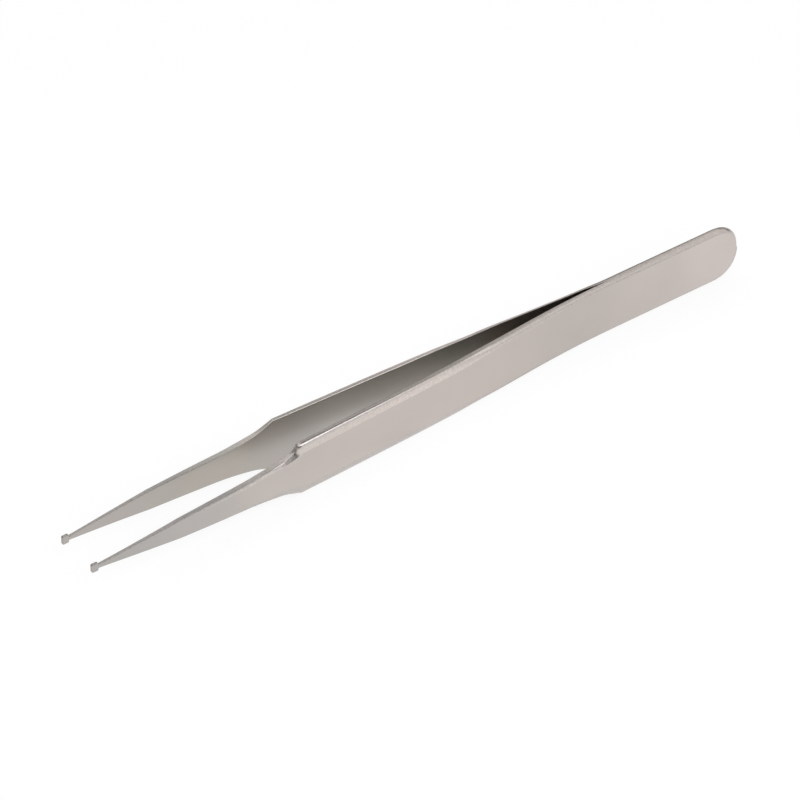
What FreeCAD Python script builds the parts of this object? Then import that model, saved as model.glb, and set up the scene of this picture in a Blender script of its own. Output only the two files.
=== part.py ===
import FreeCAD, Part
import math
import os

# Fine tweezers: two mirrored spring steel arms, joined face to face at the tail.
# They stand on their long narrow edges. The tips point to -X, the arms open along Y,
# and Z runs across the width of each arm. All sizes are in millimetres and degrees.
# A station is a distance from the tail end, measured along the tweezers.

# Overall sizes
LENGTH = 120.0
ARM_WIDTH = 9.3

# Lengths counted from the tail: the joined plate, then the spring that opens the arms
JOINED_LENGTH = 24.0
SPRING_BEND_LENGTH = 16.0
SPRING_RUN_LENGTH = 10.0
SPRING_RETURN_LENGTH = 12.0

# Lengths counted back from the end of the tips
NARROW_LENGTH = 36.8
BLADE_LENGTH = 30.0
POINT_LENGTH = 15.0
PADDLE_LENGTH = 1.1

# Angle of the inner face to the middle plane where those lengths end
BEND_ANGLE = 4.5
RUN_ANGLE = 4.2
GRIP_ANGLE = 2.4
BLADE_ANGLE = 2.1
POINT_ANGLE = 1.1
TIP_ANGLE = -1.6

# Side outline between the wide grip and the fine tip
SHOULDER_RADIUS = 0.7
SHOULDER_ANGLE = 25.5
NOTCH_RADIUS = 10.0
SWEEP_ANGLE = 12.2
SWEEP_RADIUS = 40.0
BLADE_TAPER_ANGLE = 2.8
POINT_WIDTH = 3.44
NECK_WIDTH = 0.66

# Thickness of the strip
TAIL_THICKNESS = 0.77
BODY_THICKNESS = 1.12
BLADE_THICKNESS = 1.03
NECK_THICKNESS = 0.4

# Ground relief of the outer long edges: how wide on the face, how deep into the edge
TAIL_EDGE_ROUND = 0.4
BODY_RELIEF_WIDTH = 1.15
BODY_RELIEF_DEPTH = 0.37
BLADE_RELIEF_WIDTH = 0.45
BLADE_RELIEF_DEPTH = 0.08
NECK_RELIEF_WIDTH = 0.12
NECK_RELIEF_DEPTH = 0.05

# Paddle across the end of each tip
PADDLE_WIDTH = 1.45
PADDLE_THICKNESS = 0.45
PADDLE_CORNER_RADIUS = 0.2

# Farthest apart and fewest sections that shape a curved stretch
SECTION_SPACING = 3.0
FEWEST_SPANS = 3

# The notch and its sweep may take this share of the drop from the shoulder to the blade
LARGEST_ROUND_SHARE = 0.95

# Stations where one stretch of the arm ends and the next begins
BEND_END = JOINED_LENGTH + SPRING_BEND_LENGTH
RUN_END = BEND_END + SPRING_RUN_LENGTH
GRIP_START = RUN_END + SPRING_RETURN_LENGTH
SHOULDER_START = LENGTH - NARROW_LENGTH
BLADE_START = LENGTH - BLADE_LENGTH
POINT_START = LENGTH - POINT_LENGTH
PADDLE_START = LENGTH - PADDLE_LENGTH


def slope(angle):
    return math.tan(math.radians(angle))


def blended(stages, station):
    """Value at a station, passing from one (station, value) pair to the next with no kink."""
    for (start, first), (end, last) in zip(stages, stages[1:]):
        if station <= end:
            share = max(0.0, (station - start) / (end - start))
            return first + (last - first) * share * share * (3.0 - 2.0 * share)
    return stages[-1][1]


def inner_offset(station):
    """Distance from the middle plane to the inner face: even bends that follow each other."""
    stages = (
        (JOINED_LENGTH, 0.0),
        (BEND_END, slope(BEND_ANGLE)),
        (RUN_END, slope(RUN_ANGLE)),
        (GRIP_START, slope(GRIP_ANGLE)),
        (BLADE_START, slope(BLADE_ANGLE)),
        (POINT_START, slope(POINT_ANGLE)),
        (LENGTH, slope(TIP_ANGLE)),
    )
    offset = 0.0
    for (start, first), (end, last) in zip(stages, stages[1:]):
        run = min(max(station - start, 0.0), end - start)
        offset += first * run + 0.5 * (last - first) * run * run / (end - start)
    return offset


def thickness(station):
    return blended((
        (JOINED_LENGTH, TAIL_THICKNESS),
        (RUN_END, BODY_THICKNESS),
        (SHOULDER_START, BODY_THICKNESS),
        (BLADE_START, BLADE_THICKNESS),
        (PADDLE_START, NECK_THICKNESS),
    ), station)


def relief_width(station):
    return blended((
        (JOINED_LENGTH, TAIL_EDGE_ROUND),
        (RUN_END, BODY_RELIEF_WIDTH),
        (SHOULDER_START, BODY_RELIEF_WIDTH),
        (BLADE_START, BLADE_RELIEF_WIDTH),
        (PADDLE_START, NECK_RELIEF_WIDTH),
    ), station)


def relief_depth(station):
    return blended((
        (JOINED_LENGTH, TAIL_EDGE_ROUND),
        (RUN_END, BODY_RELIEF_DEPTH),
        (SHOULDER_START, BODY_RELIEF_DEPTH),
        (BLADE_START, BLADE_RELIEF_DEPTH),
        (PADDLE_START, NECK_RELIEF_DEPTH),
    ), station)


def blade_half_width(station):
    return POINT_WIDTH / 2.0 + slope(BLADE_TAPER_ANGLE) * (POINT_START - station)


class Round:
    """Hollow arc of the side outline that ends at a given point, less steep than it began."""

    def __init__(self, radius, steep, shallow, end, end_height):
        self.radius = radius
        self.start = end - radius * (math.sin(steep) - math.sin(shallow))
        self.start_height = end_height + radius * (math.cos(shallow) - math.cos(steep))
        self.centre = self.start + radius * math.sin(steep)
        self.centre_height = self.start_height + radius * math.cos(steep)

    def height(self, station):
        return self.centre_height - math.sqrt(self.radius ** 2 - (self.centre - station) ** 2)


class Shoulder:
    """Side outline from the grip down to the blade: round corner, ramp, notch and long sweep."""

    def __init__(self):
        ramp = math.radians(SHOULDER_ANGLE)
        sweep = math.radians(SWEEP_ANGLE)
        taper = math.radians(BLADE_TAPER_ANGLE)
        self.ramp_start = SHOULDER_START + SHOULDER_RADIUS * math.sin(ramp)
        self.ramp_top = ARM_WIDTH / 2.0 - SHOULDER_RADIUS * (1.0 - math.cos(ramp))
        drop = self.ramp_top - blade_half_width(self.ramp_start)
        used = self.drop_over_round(NOTCH_RADIUS, ramp, sweep, taper)
        used += self.drop_over_round(SWEEP_RADIUS, sweep, taper, taper)
        share = min(1.0, LARGEST_ROUND_SHARE * drop / used)
        ramp_run = (drop - share * used) / (math.tan(ramp) - math.tan(taper))
        run = math.sin(ramp) - math.sin(sweep)
        notch_end = self.ramp_start + ramp_run + share * NOTCH_RADIUS * run
        sweep_end = notch_end + share * SWEEP_RADIUS * (math.sin(sweep) - math.sin(taper))
        self.sweep = Round(
            share * SWEEP_RADIUS, sweep, taper, sweep_end, blade_half_width(sweep_end))
        self.notch = Round(
            share * NOTCH_RADIUS, ramp, sweep, self.sweep.start, self.sweep.start_height)
        self.end = sweep_end

    def drop_over_round(self, radius, steep, shallow, taper):
        """How much nearer to the line of the blade a round ends than it began."""
        fall = radius * (math.cos(shallow) - math.cos(steep))
        return fall - math.tan(taper) * radius * (math.sin(steep) - math.sin(shallow))

    def corner(self, station):
        run = station - SHOULDER_START
        return ARM_WIDTH / 2.0 - SHOULDER_RADIUS + math.sqrt(SHOULDER_RADIUS ** 2 - run ** 2)

    def ramp(self, station):
        return self.ramp_top - slope(SHOULDER_ANGLE) * (station - self.ramp_start)


SHOULDER = Shoulder()


def half_width(station):
    """Half of the arm's width, seen from the side, from the parallel grip to the fine neck."""
    if station <= SHOULDER_START:
        return ARM_WIDTH / 2.0
    if station <= SHOULDER.ramp_start:
        return SHOULDER.corner(station)
    if station <= SHOULDER.notch.start:
        return SHOULDER.ramp(station)
    if station <= SHOULDER.sweep.start:
        return SHOULDER.notch.height(station)
    if station <= SHOULDER.end:
        return SHOULDER.sweep.height(station)
    if station <= POINT_START:
        return blade_half_width(station)
    share = (station - POINT_START) / (PADDLE_START - POINT_START)
    return (POINT_WIDTH + (NECK_WIDTH - POINT_WIDTH) * share) / 2.0


def along(station):
    """X of a station: the origin is half way along the tweezers."""
    return LENGTH / 2.0 - station


def section(station):
    """Closed outline across one arm: flat inside, crowned towards both outer edges."""
    x = along(station)
    middle = ARM_WIDTH / 2.0
    half = half_width(station)
    wide = relief_width(station)
    deep = relief_depth(station)
    inside = inner_offset(station)
    outside = inside + thickness(station)
    land = outside - deep
    radius = (wide ** 2 + deep ** 2) / (2.0 * deep)
    half_turn = 0.5 * math.atan2(wide, radius - deep)
    crown = outside - radius * (1.0 - math.cos(half_turn))
    inset = wide - radius * math.sin(half_turn)

    def point(y, height):
        return FreeCAD.Vector(x, y, middle + height)

    low_inside = point(inside, -half)
    low_land = point(land, -half)
    low_face = point(outside, wide - half)
    high_face = point(outside, half - wide)
    high_land = point(land, half)
    high_inside = point(inside, half)
    return Part.Wire([
        Part.LineSegment(low_inside, low_land).toShape(),
        Part.Arc(low_land, point(crown, inset - half), low_face).toShape(),
        Part.LineSegment(low_face, high_face).toShape(),
        Part.Arc(high_face, point(crown, half - inset), high_land).toShape(),
        Part.LineSegment(high_land, high_inside).toShape(),
        Part.LineSegment(high_inside, low_inside).toShape(),
    ])


def stretch(start, end):
    """Solid of one arm between two stations, lofted through evenly spaced sections."""
    spans = max(FEWEST_SPANS, math.ceil((end - start) / SECTION_SPACING))
    stations = [start + (end - start) * count / spans for count in range(spans + 1)]
    return Part.makeLoft([section(station) for station in stations], True, False)


def tail_plate():
    """Flat joined end: a plate with a half round end and a rounded outer edge."""
    radius = ARM_WIDTH / 2.0
    low_cut = FreeCAD.Vector(along(JOINED_LENGTH), 0.0, 0.0)
    low_round = FreeCAD.Vector(along(radius), 0.0, 0.0)
    tail_tip = FreeCAD.Vector(along(0.0), 0.0, radius)
    high_round = FreeCAD.Vector(along(radius), 0.0, ARM_WIDTH)
    high_cut = FreeCAD.Vector(along(JOINED_LENGTH), 0.0, ARM_WIDTH)
    outline = Part.Wire([
        Part.LineSegment(low_cut, low_round).toShape(),
        Part.Arc(low_round, tail_tip, high_round).toShape(),
        Part.LineSegment(high_round, high_cut).toShape(),
        Part.LineSegment(high_cut, low_cut).toShape(),
    ])
    plate = Part.Face(outline).extrude(FreeCAD.Vector(0.0, TAIL_THICKNESS, 0.0))
    outer_edges = [
        edge for edge in plate.Edges
        if edge.BoundBox.YMin > TAIL_THICKNESS / 2.0 and edge.BoundBox.XMax > low_cut.x + radius
    ]
    return plate.makeFillet(TAIL_EDGE_ROUND, outer_edges)


def paddle():
    """Small cross plate at the very tip, flush with the arm's inner face."""
    low_corner = FreeCAD.Vector(
        along(LENGTH), inner_offset(PADDLE_START), (ARM_WIDTH - PADDLE_WIDTH) / 2.0)
    plate = Part.makeBox(PADDLE_LENGTH, PADDLE_THICKNESS, PADDLE_WIDTH, low_corner)
    corner_edges = [
        edge for edge in plate.Edges
        if edge.BoundBox.YLength > PADDLE_THICKNESS / 2.0
    ]
    return plate.makeFillet(PADDLE_CORNER_RADIUS, corner_edges)


def arm():
    """One whole arm, on the +Y side of the middle plane."""
    ends = (
        JOINED_LENGTH, BEND_END, RUN_END, GRIP_START, SHOULDER_START, SHOULDER.ramp_start,
        SHOULDER.notch.start, SHOULDER.sweep.start, SHOULDER.end, POINT_START, PADDLE_START)
    stretches = [stretch(start, end) for start, end in zip(ends, ends[1:])]
    return tail_plate().fuse(stretches + [paddle()]).removeSplitter()


os.makedirs("parts", exist_ok=True)
right_arm = arm()
left_arm = right_arm.mirror(FreeCAD.Vector(0, 0, 0), FreeCAD.Vector(0, 1, 0))
right_arm.exportStep("parts/right_arm.step")
left_arm.exportStep("parts/left_arm.step")
for name, shape in (("right_arm", right_arm), ("left_arm", left_arm)):
    print(name, "solids", len(shape.Solids), "valid", shape.isValid(), "volume", round(shape.Volume, 2))
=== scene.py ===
import bmesh
import bpy
import math
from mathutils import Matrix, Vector


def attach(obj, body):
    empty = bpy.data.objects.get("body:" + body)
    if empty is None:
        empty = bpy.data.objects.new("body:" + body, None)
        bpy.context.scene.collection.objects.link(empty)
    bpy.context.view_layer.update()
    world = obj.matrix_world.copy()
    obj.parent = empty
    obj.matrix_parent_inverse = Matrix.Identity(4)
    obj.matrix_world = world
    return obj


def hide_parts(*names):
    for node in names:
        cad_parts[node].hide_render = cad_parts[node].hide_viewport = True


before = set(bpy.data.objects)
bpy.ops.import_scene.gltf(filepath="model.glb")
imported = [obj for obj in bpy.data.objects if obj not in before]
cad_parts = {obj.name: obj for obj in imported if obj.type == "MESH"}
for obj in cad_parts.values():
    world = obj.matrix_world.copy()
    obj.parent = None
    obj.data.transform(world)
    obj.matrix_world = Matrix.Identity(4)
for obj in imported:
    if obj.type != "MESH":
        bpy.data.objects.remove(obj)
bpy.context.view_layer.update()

# Sizes are in millimetres until a mesh is made. A station is a distance from the tail end,
# a height is measured from the centre line of the arm, and a lift from its inner face. The
# near arm has side -1, the far arm side 1, and half is 1 above the centre line and -1 below.
MM = 0.001

LENGTH = 120.0
HALF_WIDTH = 4.65

# Stations where the arm changes, from the tail to the tip
JOINED_END = 24.0
BEND_END = 40.0
RUN_END = 50.0
GRIP_START = 62.0
CREST_START = 45.0
CREST_END = 55.0
SHOULDER_START = 83.2
SHOULDER_END = 83.55
BLADE_START = 90.0
POINT_START = 105.0
NECK_THIN = 118.7
PADDLE_START = 118.9

# Side outline: radii, angles in degrees and half widths
SHOULDER_RADIUS = 0.7
SHOULDER_ANGLE = 25.5
NOTCH_RADIUS = 10.0
SWEEP_ANGLE = 12.2
SWEEP_RADIUS = 40.0
BLADE_TAPER_ANGLE = 2.8
HALF_POINT = 1.72
HALF_NECK = 0.33
NECK_FILLET = 0.1
HALF_PADDLE = 0.725
PADDLE_CORNER = 0.2

# The neck's fillet stops this far short of upright, which keeps an area in every face
FILLET_SHORT = 0.1

# The round tail is ground a little fuller than a half circle, above more than below
UPPER_FULLNESS = 0.055
LOWER_FULLNESS = 0.022

# Edge profile: its steps round the inner corner, over the crest and down the relief, the row
# where the crest ends, and how far a supporting loop lies behind a softened corner
INNER_STEPS = 3
CREST_STEPS = 6
RELIEF_STEPS = 8
CREST_ROW = INNER_STEPS + CREST_STEPS + 4
LOOP_GAP = 0.05

# Largest share of the thickness that the relief takes, and of the land and the relief that
# the softened crest takes
RELIEF_LIMIT = 0.85
CREST_OF_LAND = 0.7
CREST_OF_RELIEF = 0.4

# What a set-out adds to the width of the relief, and a deeper notch to its depth and flatness
SET_OUT_WIDENING = 1.2
NOTCH_DEEPENING = 0.25
NOTCH_FLATTENING = 2.5

# Corners closer than this are one
MERGE_DISTANCE = 0.002

# Places of the materials in an arm's list. The outer and inner faces share one polished steel,
# and the land and the reliefs one ground steel; each place has its own painted light and shade,
# so the upper and lower reliefs are lit and shaded copies of one material
OUTER_FACE, LAND, UPPER_RELIEF, INNER_FACE, LOWER_RELIEF = range(5)

# Satin steel: tint, roughness in and between the scratches, and depth of a scratch in metres
STEEL_TINT = (0.578, 0.522, 0.487)
SMOOTHEST = 0.26
ROUGHEST = 0.38
SCRATCH_DEPTH = 0.00002

# Camera, in degrees and metres, as fitted to the photograph's outline
CAMERA_AZIMUTH = -36.265
CAMERA_ELEVATION = 39.954
CAMERA_DISTANCE = 0.88206
CAMERA_LENS = 270.0
CAMERA_SHIFT = (-0.02003, -0.00658)

# Floor: paint, and the light of its own that makes it white to the camera
FLOOR_PAINT = 0.2
FLOOR_GLOW = 0.83
FLOOR_REACH = 3.0

# Strength of the surroundings as a light
SOFT_LIGHT = 0.8


def slope(angle):
    """Rise for each millimetre along the arm, for an angle in degrees."""
    return math.tan(math.radians(angle))


def blended(stages, station):
    """Value at a station, passing smoothly from one (station, value) pair to the next."""
    for (start, first), (end, last) in zip(stages, stages[1:]):
        if station <= end:
            share = max(0.0, (station - start) / (end - start))
            return first + (last - first) * share * share * (3.0 - 2.0 * share)
    return stages[-1][1]


# Along the arm: slope of the bow, thickness, and width and depth of the ground relief
BOW = (
    (JOINED_END, 0.0),
    (BEND_END, slope(4.5)),
    (RUN_END, slope(4.2)),
    (GRIP_START, slope(2.4)),
    (BLADE_START, slope(2.1)),
    (POINT_START, slope(1.1)),
    (LENGTH, slope(-1.6)),
)
THICKNESS = (
    (JOINED_END, 0.77), (RUN_END, 1.12), (SHOULDER_START, 1.12), (BLADE_START, 1.03),
    (NECK_THIN, 0.4), (PADDLE_START, 0.45))
RELIEF_WIDTH = (
    (JOINED_END, 0.42), (CREST_START, 0.75), (CREST_END, 1.2), (SHOULDER_END, 1.4),
    (BLADE_START, 0.45), (NECK_THIN, 0.12), (PADDLE_START, 0.1))
RELIEF_DEPTH = (
    (JOINED_END, 0.62), (CREST_START, 0.62), (CREST_END, 0.38), (SHOULDER_END, 0.39),
    (BLADE_START, 0.08), (NECK_THIN, 0.05), (PADDLE_START, 0.05))

# How far the upper reliefs are flat instead of round, and how far the corners are softened
NEAR_FLATNESS = (
    (0.0, 0.65), (JOINED_END, 0.35), (CREST_START, 0.0), (CREST_END, 0.25),
    (SHOULDER_END, 0.25), (BLADE_START, 0.0))
FAR_FLATNESS = (
    (0.0, 0.25), (JOINED_END, 0.0), (CREST_START, 0.0), (CREST_END, 0.25),
    (SHOULDER_END, 0.25), (BLADE_START, 0.0))
CREST_ROUND = (
    (JOINED_END, 0.05), (RUN_END, 0.06), (GRIP_START, 0.1), (76.0, 0.22),
    (SHOULDER_END, 0.34), (SHOULDER_END + 2.0, 0.08), (95.0, 0.12), (LENGTH, 0.04))
INNER_ROUND = (
    (JOINED_END, 0.03), (RUN_END, 0.05), (GRIP_START, 0.15), (SHOULDER_END, 0.15),
    (SHOULDER_END + 2.0, 0.05), (LENGTH, 0.03))

# The far arm is set out a little further along its spring, where its relief is steeper
FAR_ARM_SET = (
    (JOINED_END, 0.0), (30.0, 0.42), (36.0, 0.52), (42.0, 0.5), (52.0, 0.24),
    (GRIP_START, 0.12), (SHOULDER_END, 0.1), (BLADE_START, 0.0))

# The upper notch of the near arm was ground by hand: sharper at the shoulder, where less was
# taken off than drawn, and then deeper, with a flatter relief
NOTCH_CUT = (
    (SHOULDER_END, 0.0), (SHOULDER_END + 0.2, -0.08), (SHOULDER_END + 0.7, 0.33),
    (SHOULDER_END + 1.2, 0.5), (SHOULDER_END + 2.6, 0.38), (SHOULDER_END + 4.6, 0.18),
    (SHOULDER_END + 7.0, 0.0))


def bow(station, side):
    """Distance of the inner face from the middle plane; the far arm has side 1."""
    offset = blended(FAR_ARM_SET, station) if side > 0.0 else 0.0
    for (start, first), (end, last) in zip(BOW, BOW[1:]):
        run = min(max(station - start, 0.0), end - start)
        offset += first * run + 0.5 * (last - first) * run * run / (end - start)
    return offset


def line(start, end, spacing):
    """Straight run of the side outline, as (station, height, inward direction, rounding)."""
    length = math.dist(start, end)
    inward = ((end[1] - start[1]) / length, -(end[0] - start[0]) / length)
    steps = max(1, math.ceil(length / spacing))
    return [
        (start[0] + (end[0] - start[0]) * step / steps,
         start[1] + (end[1] - start[1]) * step / steps,
         inward, 0.0)
        for step in range(steps + 1)]


def arc(centre, radius, start, end, steps, hollow=False):
    """Round run of the side outline; the centre of a hollow one lies outside the arm."""
    facing = 1.0 if hollow else -1.0
    turns = [start + (end - start) * step / steps for step in range(steps + 1)]
    return [
        (centre[0] + radius * math.cos(turn), centre[1] + radius * math.sin(turn),
         (facing * math.cos(turn), facing * math.sin(turn)), 0.0 if hollow else radius)
        for turn in turns]


def upper_outline():
    """Upper half of the side outline, from the round tail to the end of the paddle."""
    ramp = math.radians(SHOULDER_ANGLE)
    sweep = math.radians(SWEEP_ANGLE)
    taper = math.radians(BLADE_TAPER_ANGLE)
    ramp_start = SHOULDER_START + SHOULDER_RADIUS * math.sin(ramp)
    ramp_top = HALF_WIDTH - SHOULDER_RADIUS * (1.0 - math.cos(ramp))
    notch_run = NOTCH_RADIUS * (math.sin(ramp) - math.sin(sweep))
    notch_fall = NOTCH_RADIUS * (math.cos(sweep) - math.cos(ramp))
    sweep_run = SWEEP_RADIUS * (math.sin(sweep) - math.sin(taper))
    sweep_fall = SWEEP_RADIUS * (math.cos(taper) - math.cos(sweep))
    blade_there = HALF_POINT + math.tan(taper) * (POINT_START - ramp_start)
    used = notch_fall + sweep_fall - math.tan(taper) * (notch_run + sweep_run)
    ramp_run = (ramp_top - blade_there - used) / (math.tan(ramp) - math.tan(taper))
    notch_start = ramp_start + ramp_run
    notch_top = ramp_top - math.tan(ramp) * ramp_run
    sweep_start = notch_start + notch_run
    sweep_top = notch_top - notch_fall
    down = -math.pi / 2.0
    up = math.pi / 2.0
    shoulder = arc(
        (SHOULDER_START, HALF_WIDTH - SHOULDER_RADIUS), SHOULDER_RADIUS, up, up - ramp, 6)
    notch = arc(
        (notch_start + NOTCH_RADIUS * math.sin(ramp), notch_top + NOTCH_RADIUS * math.cos(ramp)),
        NOTCH_RADIUS, down - ramp, down - sweep, 10, hollow=True)
    long_sweep = arc(
        (sweep_start + SWEEP_RADIUS * math.sin(sweep), sweep_top + SWEEP_RADIUS * math.cos(sweep)),
        SWEEP_RADIUS, down - sweep, down - taper, 14, hollow=True)
    neck = arc(
        (PADDLE_START - NECK_FILLET, HALF_NECK + NECK_FILLET), NECK_FILLET, down,
        -FILLET_SHORT, 6, hollow=True)
    runs = (
        arc((HALF_WIDTH, 0.0), HALF_WIDTH, math.pi - 0.03, up, 48),
        line((HALF_WIDTH, HALF_WIDTH), (SHOULDER_START - 0.6, HALF_WIDTH), 0.8),
        shoulder,
        line(shoulder[-1][:2], notch[0][:2], 0.3)[1:],
        notch[1:],
        long_sweep[1:],
        line(long_sweep[-1][:2], (POINT_START, HALF_POINT), 0.8)[1:],
        line((POINT_START, HALF_POINT), neck[0][:2], 0.8)[1:],
        neck[1:],
        arc((PADDLE_START + PADDLE_CORNER, HALF_PADDLE - PADDLE_CORNER), PADDLE_CORNER,
            math.pi, up, 6),
        arc((LENGTH - PADDLE_CORNER, HALF_PADDLE - PADDLE_CORNER), PADDLE_CORNER, up, 0.0, 6),
    )
    return [corner for run in runs for corner in run]


def drawn_in(corner, inset):
    """Where an outline point goes when the outline is drawn in by an inset.

    What lies inside the centre of the shoulder's round corner goes on along its mitre.
    """
    station, height, inward, rounding = corner
    half_turn = math.radians(SHOULDER_ANGLE) / 2.0
    near = min(inset, rounding) if rounding else inset
    far = (inset - near) / math.cos(half_turn)
    return (
        station + inward[0] * near - math.sin(half_turn) * far,
        height + inward[1] * near - math.cos(half_turn) * far)


def filled_tail(place, height, fullness):
    """Where a point of the round tail goes when its corner is left fuller by a share."""
    reach = HALF_WIDTH - place
    if reach <= 0.0:
        return place, height
    gain = fullness * math.sin(2.0 * math.atan2(height, reach)) ** 2
    return place - gain * reach, height + gain * height


def edge_profile(station, set_out, cut_away, flatness):
    """Edge of the strip as (inset, lift): inner corner, land, softened crest, relief.

    It starts and ends with a supporting loop, on the inner and on the outer face.
    """
    thick = blended(THICKNESS, station)
    wide = blended(RELIEF_WIDTH, station) + SET_OUT_WIDENING * set_out - cut_away
    deep = min(
        blended(RELIEF_DEPTH, station) + set_out + max(0.0, NOTCH_DEEPENING * cut_away),
        RELIEF_LIMIT * thick)
    flat = min(1.0, max(flatness, NOTCH_FLATTENING * cut_away))
    inner = blended(INNER_ROUND, station)
    land = thick - deep
    full_turn = min(math.pi / 2.0, 2.0 * math.atan2(deep, wide))

    def relief(share):
        """Point of the relief, from the outer face at 0 to the sharp crest at 1."""
        turn = full_turn * share
        inset = math.sin(turn) / math.sin(full_turn)
        fall = (1.0 - math.cos(turn)) / (1.0 - math.cos(full_turn))
        return (wide * (1.0 - inset), thick - deep * (fall + (inset - fall) * flat))

    cut = min(
        blended(CREST_ROUND, station), CREST_OF_LAND * (land - inner), CREST_OF_RELIEF * wide)
    below = (0.0, land - cut)
    shown = 1.0 - cut / math.hypot(wide, deep)
    after = relief(shown)
    profile = [(inner + LOOP_GAP, 0.0)]
    for step in range(INNER_STEPS + 1):
        turn = math.pi / 2.0 / INNER_STEPS * step
        profile.append((inner * (1.0 - math.sin(turn)), inner * (1.0 - math.cos(turn))))
    profile.append((0.0, inner + 0.3 * (below[1] - inner)))
    profile.append((0.0, below[1] - 0.2 * (below[1] - inner)))
    for step in range(CREST_STEPS + 1):
        share = step / CREST_STEPS
        profile.append(tuple(
            (1.0 - share) ** 2 * low + 2.0 * share * (1.0 - share) * top + share ** 2 * high
            for low, top, high in zip(below, (0.0, land), after)))
    for step in range(1, RELIEF_STEPS + 1):
        profile.append(relief(shown * (1.0 - step / RELIEF_STEPS)))
    profile.append((wide + min(LOOP_GAP, 0.5 * wide), thick))
    return profile


def arm_mesh(name, side):
    """Mesh of one arm: rings of edge profile round the outline, closed by strips across."""
    upper = upper_outline()
    outline = [(corner, 1.0) for corner in upper] + [(corner, -1.0) for corner in reversed(upper)]
    vertices = []
    for corner, half in outline:
        fullness = UPPER_FULLNESS if half > 0.0 else LOWER_FULLNESS
        station = corner[0]
        thick = blended(THICKNESS, station)
        set_out = blended(FAR_ARM_SET, station) if side > 0.0 else 0.0
        cut_away = blended(NOTCH_CUT, station) if side < 0.0 < half else 0.0
        flatnesses = NEAR_FLATNESS if side < 0.0 else FAR_FLATNESS
        flatness = blended(flatnesses, station) if half > 0.0 else 0.0
        for inset, lift in edge_profile(station, set_out, cut_away, flatness):
            place, height = drawn_in(corner, inset + cut_away)
            place, height = filled_tail(place, height, fullness)
            lift *= blended(THICKNESS, place) / thick
            vertices.append((
                (LENGTH / 2.0 - place) * MM,
                side * (bow(place, side) + lift) * MM,
                (HALF_WIDTH + half * height) * MM))
    count = len(outline)
    rows = len(vertices) // count
    faces = []
    material_slots = []
    for number in range(count):
        following = (number + 1) % count
        for row in range(rows - 1):
            faces.append((
                number * rows + row, following * rows + row,
                following * rows + row + 1, number * rows + row + 1))
            # The upper and lower reliefs get the same ground steel with different painted light
            # and shade
            relief = UPPER_RELIEF if number < count // 2 else LOWER_RELIEF
            material_slots.append(LAND if row < CREST_ROW else relief)
    for number in range(count // 2 - 1):
        low = count - 1 - number
        for row, turned in ((0, False), (rows - 1, True)):
            strip = (
                number * rows + row, low * rows + row,
                (low - 1) * rows + row, (number + 1) * rows + row)
            faces.append(tuple(reversed(strip)) if turned else strip)
            # The inner face takes the copy of the polished steel with painted shade between the
            # arms
            material_slots.append(OUTER_FACE if turned else INNER_FACE)
    if side > 0:
        faces = [tuple(reversed(face)) for face in faces]
    mesh = bpy.data.meshes.new(name)
    mesh.from_pydata(vertices, [], faces)
    for face, material_slot in zip(mesh.polygons, material_slots):
        face.use_smooth = True
        face.material_index = material_slot
    shape = bmesh.new()
    shape.from_mesh(mesh)
    bmesh.ops.remove_doubles(shape, verts=shape.verts, dist=MERGE_DISTANCE * MM)
    shape.to_mesh(mesh)
    shape.free()
    mesh.validate()
    return mesh


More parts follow.
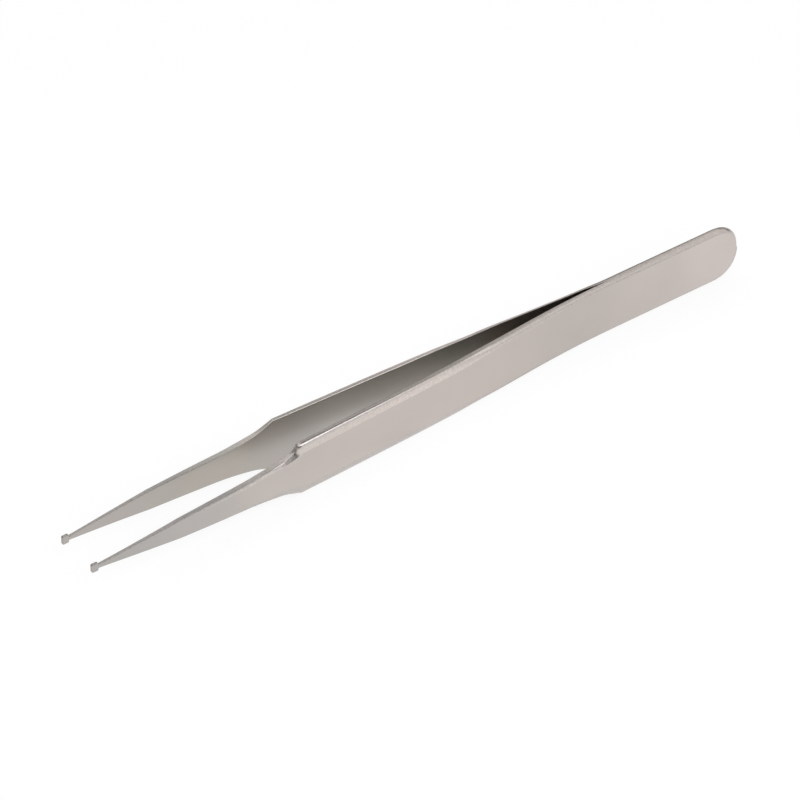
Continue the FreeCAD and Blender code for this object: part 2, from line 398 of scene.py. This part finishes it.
def satin_steel(name, stretch, bump, mottling, contrast, painted_shading):
    """Satin ground stainless steel: fine scratches along the long side of a stretched noise.

    Its tint is mottled with the given scale and contrast, and multiplied by painted light and
    shade: a colour that passes from one (place along X, colour) pair to the next, making the
    steel lighter or darker along the arm, with a slight change of tint.
    """
    material = bpy.data.materials.new(name)
    material.use_nodes = True
    nodes = material.node_tree.nodes
    links = material.node_tree.links
    shader = nodes["Principled BSDF"]
    shader.inputs["Metallic"].default_value = 1.0
    place = nodes.new("ShaderNodeTexCoord")
    scale = nodes.new("ShaderNodeMapping")
    scale.inputs["Scale"].default_value = stretch
    links.new(place.outputs["Object"], scale.inputs["Vector"])
    scratches = nodes.new("ShaderNodeTexNoise")
    scratches.inputs["Scale"].default_value = 1.0
    scratches.inputs["Detail"].default_value = 3.0
    links.new(scale.outputs["Vector"], scratches.inputs["Vector"])
    clouds = nodes.new("ShaderNodeTexNoise")
    clouds.inputs["Scale"].default_value = mottling
    clouds.inputs["Detail"].default_value = 2.0
    links.new(place.outputs["Object"], clouds.inputs["Vector"])
    tint = nodes.new("ShaderNodeMix")
    tint.data_type = "RGBA"
    for number, gain in ((6, 1.0 - contrast), (7, 1.0 + contrast)):
        tint.inputs[number].default_value = (*(part * gain for part in STEEL_TINT), 1.0)
    links.new(clouds.outputs["Fac"], tint.inputs[0])
    lengthwise = nodes.new("ShaderNodeSeparateXYZ")
    links.new(place.outputs["Object"], lengthwise.inputs[0])
    # Painted light and shade along X, multiplied into the mottled tint
    shade = None
    for (start, first), (end, last) in zip(painted_shading, painted_shading[1:]):
        share = nodes.new("ShaderNodeMapRange")
        share.interpolation_type = "SMOOTHSTEP"
        share.inputs["From Min"].default_value = start
        share.inputs["From Max"].default_value = end
        links.new(lengthwise.outputs["X"], share.inputs["Value"])
        passing = nodes.new("ShaderNodeMix")
        passing.data_type = "RGBA"
        links.new(share.outputs["Result"], passing.inputs[0])
        passing.inputs[6].default_value = (*first, 1.0)
        passing.inputs[7].default_value = (*last, 1.0)
        if shade:
            links.new(shade, passing.inputs[6])
        shade = passing.outputs[2]
    tint_with_painted_shading = nodes.new("ShaderNodeVectorMath")
    tint_with_painted_shading.operation = "MULTIPLY"
    links.new(tint.outputs[2], tint_with_painted_shading.inputs[0])
    links.new(shade, tint_with_painted_shading.inputs[1])
    links.new(tint_with_painted_shading.outputs[0], shader.inputs["Base Color"])
    rough = nodes.new("ShaderNodeMapRange")
    rough.inputs["To Min"].default_value = SMOOTHEST
    rough.inputs["To Max"].default_value = ROUGHEST
    links.new(scratches.outputs["Fac"], rough.inputs["Value"])
    links.new(rough.outputs["Result"], shader.inputs["Roughness"])
    grooves = nodes.new("ShaderNodeBump")
    grooves.inputs["Strength"].default_value = bump
    grooves.inputs["Distance"].default_value = SCRATCH_DEPTH
    links.new(scratches.outputs["Fac"], grooves.inputs["Height"])
    links.new(grooves.outputs["Normal"], shader.inputs["Normal"])
    return material


# Finishes as stretch of the scratches, strength of their bump, and scale and contrast of the
# mottling: polished along the arm, or ground across its edges
POLISHED = ((150.0, 4000.0, 12000.0), 0.15, 160.0, 0.04)
GROUND = ((4500.0, 1200.0, 1200.0), 0.5, 3200.0, 0.22)

# Outer faces: polished steel with painted light and shade along X, darker and greener towards the
# tips, a darker band towards the tail and lighter at the tail end
outer_steel_painted_shading = satin_steel(
    "satin_outer_steel_painted_shading", *POLISHED,
    ((-0.056, (0.78, 0.83, 0.85)), (-0.04, (0.85, 0.88, 0.9)), (-0.028, (0.98, 0.98, 0.98)),
     (-0.01, (1.03, 1.02, 1.02)), (0.01, (0.99, 0.98, 0.98)), (0.027, (0.92, 0.92, 0.92)),
     (0.045, (1.0, 1.0, 1.0)), (0.055, (1.07, 1.07, 1.09))))
# Inner faces: polished steel with painted shade where the arms face each other, deepest towards
# the tips and along the spring, and less red
inner_steel_painted_shade = satin_steel(
    "satin_inner_steel_painted_shade", *POLISHED,
    ((-0.05, (0.82, 0.84, 0.85)), (-0.032, (0.84, 0.86, 0.83)), (-0.024, (0.87, 0.9, 0.9)),
     (-0.019, (0.86, 0.9, 0.9)), (-0.011, (0.93, 0.98, 0.98)), (0.0, (0.94, 0.99, 0.99)),
     (0.01, (0.885, 0.955, 0.955)), (0.02, (0.88, 0.89, 0.88))))
# Near land: ground steel with painted shade, darker towards the tips
near_land_steel_painted_shade = satin_steel(
    "ground_near_land_steel_painted_shade", *GROUND,
    ((-0.04, (0.66, 0.68, 0.7)), (-0.031, (0.82, 0.84, 0.84)), (-0.024, (1.0, 1.0, 1.0))))
# Far land: ground steel with painted shade towards the tips and painted light around the middle of
# the arm
far_land_steel_painted_shading = satin_steel(
    "ground_far_land_steel_painted_shading", *GROUND,
    ((-0.042, (0.66, 0.69, 0.7)), (-0.032, (0.84, 0.88, 0.88)), (-0.022, (1.0, 1.02, 1.0)),
     (-0.01, (1.16, 1.16, 1.16)), (0.004, (1.4, 1.4, 1.4)), (0.025, (1.0, 1.0, 1.0))))
# Upper reliefs: ground steel with painted shade towards the tips and the tail, and painted light
# along the grip
upper_relief_steel_painted_shading = satin_steel(
    "ground_upper_relief_steel_painted_shading", *GROUND,
    ((-0.05, (0.8, 0.84, 0.86)), (-0.024, (1.17, 1.17, 1.17)), (0.0, (1.2, 1.18, 1.18)),
     (0.02, (0.98, 0.98, 0.98)), (0.045, (0.94, 0.94, 0.95))))
# Lower reliefs: the same ground steel with painted shade, darker than the upper reliefs and darker
# still towards the tips
lower_relief_steel_painted_shade = satin_steel(
    "ground_lower_relief_steel_painted_shade", *GROUND,
    ((-0.05, (0.78, 0.83, 0.86)), (-0.028, (0.93, 0.96, 0.97)), (0.0, (0.98, 1.0, 1.02)),
     (0.02, (0.86, 0.87, 0.88)), (0.05, (0.94, 0.95, 0.96))))

# Each arm gets its own copy of the land steel, with its own painted light and shade
for node, side, land_steel_painted_shading in (
        ("left_arm", -1.0, near_land_steel_painted_shade), ("right_arm", 1.0, far_land_steel_painted_shading)):
    arm = bpy.data.objects.new(node + "_steel", arm_mesh(node + "_steel", side))
    bpy.context.scene.collection.objects.link(arm)
    for steel in (
            outer_steel_painted_shading, land_steel_painted_shading, upper_relief_steel_painted_shading, inner_steel_painted_shade, lower_relief_steel_painted_shade):
        arm.data.materials.append(steel)
    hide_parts(node)
    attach(arm, "root")


def aimed(thing, place, target):
    """Puts a camera, lamp or card at a place, facing its target."""
    thing.location = place
    thing.rotation_euler = (Vector(target) - Vector(place)).to_track_quat("-Z", "Y").to_euler()


def place_camera():
    """Level view at the photograph's angle, past the near arm's outer face from above."""
    lens = bpy.data.cameras.new("camera")
    lens.sensor_width = 36.0
    lens.lens = CAMERA_LENS
    lens.shift_x = CAMERA_SHIFT[0]
    lens.shift_y = CAMERA_SHIFT[1]
    lens.clip_start = 0.01
    camera = bpy.data.objects.new("camera", lens)
    bpy.context.scene.collection.objects.link(camera)
    azimuth = math.radians(CAMERA_AZIMUTH)
    elevation = math.radians(CAMERA_ELEVATION)
    back = Vector((
        math.sin(azimuth) * math.cos(elevation),
        -math.cos(azimuth) * math.cos(elevation),
        math.sin(elevation)))
    centre = Vector((0.0, 0.0, HALF_WIDTH * MM))
    aimed(camera, centre + back * CAMERA_DISTANCE, centre)
    bpy.context.scene.camera = camera


def softbox(name, place, target, width, height, radiance, colour=(1.0, 1.0, 1.0)):
    """Area lamp whose surface has the given brightness."""
    lamp = bpy.data.lights.new(name, "AREA")
    lamp.shape = "RECTANGLE"
    lamp.size = width
    lamp.size_y = height
    lamp.energy = radiance * math.pi * width * height
    lamp.color = colour
    thing = bpy.data.objects.new(name, lamp)
    bpy.context.scene.collection.objects.link(thing)
    thing.visible_camera = False
    aimed(thing, place, target)


def seen_share(nodes, links, share):
    """Full for camera, mirror and glass rays, and the given share for light falling on things."""
    path = nodes.new("ShaderNodeLightPath")
    camera_or_mirror = nodes.new("ShaderNodeMath")
    camera_or_mirror.operation = "MAXIMUM"
    links.new(path.outputs["Is Camera Ray"], camera_or_mirror.inputs[0])
    links.new(path.outputs["Is Glossy Ray"], camera_or_mirror.inputs[1])
    all_seen = nodes.new("ShaderNodeMath")
    all_seen.operation = "MAXIMUM"
    links.new(camera_or_mirror.outputs[0], all_seen.inputs[0])
    links.new(path.outputs["Is Transmission Ray"], all_seen.inputs[1])
    strength = nodes.new("ShaderNodeMapRange")
    strength.inputs["To Min"].default_value = share
    strength.inputs["To Max"].default_value = 1.0
    links.new(all_seen.outputs[0], strength.inputs["Value"])
    return strength.outputs["Result"]


def white_surroundings():
    """White as camera, mirror and glass rays see it, softer as a light."""
    world = bpy.data.worlds.new("surroundings")
    bpy.context.scene.world = world
    world.use_nodes = True
    nodes = world.node_tree.nodes
    links = world.node_tree.links
    strength = seen_share(nodes, links, SOFT_LIGHT)
    links.new(strength, nodes["Background"].inputs["Strength"])
    nodes["Background"].inputs["Color"].default_value = (1.0, 1.0, 1.0, 1.0)


def rectangle(width, height):
    """Corners of a flat sheet round the origin."""
    return [
        (-width / 2.0, -height / 2.0, 0.0), (width / 2.0, -height / 2.0, 0.0),
        (width / 2.0, height / 2.0, 0.0), (-width / 2.0, height / 2.0, 0.0)]


def lay_floor():
    """Plain pale floor that the tweezers stand on, glowing enough to look white."""
    mesh = bpy.data.meshes.new("floor")
    mesh.from_pydata(rectangle(2.0 * FLOOR_REACH, 2.0 * FLOOR_REACH), [], [(0, 1, 2, 3)])
    floor = bpy.data.objects.new("floor", mesh)
    bpy.context.scene.collection.objects.link(floor)
    paper = bpy.data.materials.new("pale_floor")
    paper.use_nodes = True
    nodes = paper.node_tree.nodes
    links = paper.node_tree.links
    shader = nodes["Principled BSDF"]
    shader.inputs["Base Color"].default_value = (FLOOR_PAINT, FLOOR_PAINT, FLOOR_PAINT, 1.0)
    shader.inputs["Roughness"].default_value = 0.9
    shader.inputs["Specular IOR Level"].default_value = 0.1
    shader.inputs["Emission Color"].default_value = (1.0, 1.0, 1.0, 1.0)
    glow = nodes.new("ShaderNodeMath")
    glow.operation = "MULTIPLY"
    links.new(seen_share(nodes, links, 0.0), glow.inputs[0])
    glow.inputs[1].default_value = FLOOR_GLOW
    links.new(glow.outputs[0], shader.inputs["Emission Strength"])
    mesh.materials.append(paper)


def dark_card(name, place, target, width, height, shade):
    """Grey card that only mirror rays see."""
    mesh = bpy.data.meshes.new(name)
    mesh.from_pydata(rectangle(width, height), [], [(0, 1, 2, 3)])
    card = bpy.data.objects.new(name, mesh)
    bpy.context.scene.collection.objects.link(card)
    aimed(card, place, target)
    card.visible_camera = False
    card.visible_diffuse = False
    card.visible_shadow = False
    card.visible_transmission = False
    grey = bpy.data.materials.new(name)
    grey.use_nodes = True
    shader = grey.node_tree.nodes["Principled BSDF"]
    shader.inputs["Base Color"].default_value = (0.0, 0.0, 0.0, 1.0)
    shader.inputs["Specular IOR Level"].default_value = 0.0
    shader.inputs["Emission Color"].default_value = (shade, shade, shade, 1.0)
    shader.inputs["Emission Strength"].default_value = 1.0
    mesh.materials.append(grey)


place_camera()
white_surroundings()
lay_floor()
softbox("front_softbox", (0.01, -0.063, 0.072), (-0.026, -0.003, 0.009), 0.056, 0.075, 1.5,
        (0.9, 1.0, 1.08))
dark_card("overhead_card", (0.036, 0.02, 0.135), (-0.022, 0.0, 0.009), 0.117, 0.08, 0.1)
dark_card("back_high_card", (0.1, 0.124, 0.146), (0.01, 0.0, 0.009), 0.07, 0.07, 0.5)
dark_card("back_left_card", (-0.36, 0.4, 0.27), (-0.02, 0.0, 0.009), 0.6, 0.62, 0.35)
dark_card("left_card", (-0.45, -0.04, 0.26), (-0.025, 0.0, 0.009), 0.5, 0.5, 0.2)
dark_card("front_left_card", (-0.1, -0.57, 0.14), (-0.02, 0.0, 0.009), 0.76, 0.5, 0.02)
dark_card("front_right_card", (0.283, -0.418, 0.09), (-0.01, 0.0, 0.009), 0.24, 0.16, 0.8)
dark_card("right_card", (0.5, 0.12, 0.07), (0.055, 0.0, 0.007), 0.36, 0.2, 0.05)
dark_card("back_card", (0.36, 0.59, 0.13), (0.01, 0.0, 0.009), 1.0, 0.38, 0.06)

bpy.context.scene.view_settings.view_transform = "Standard"
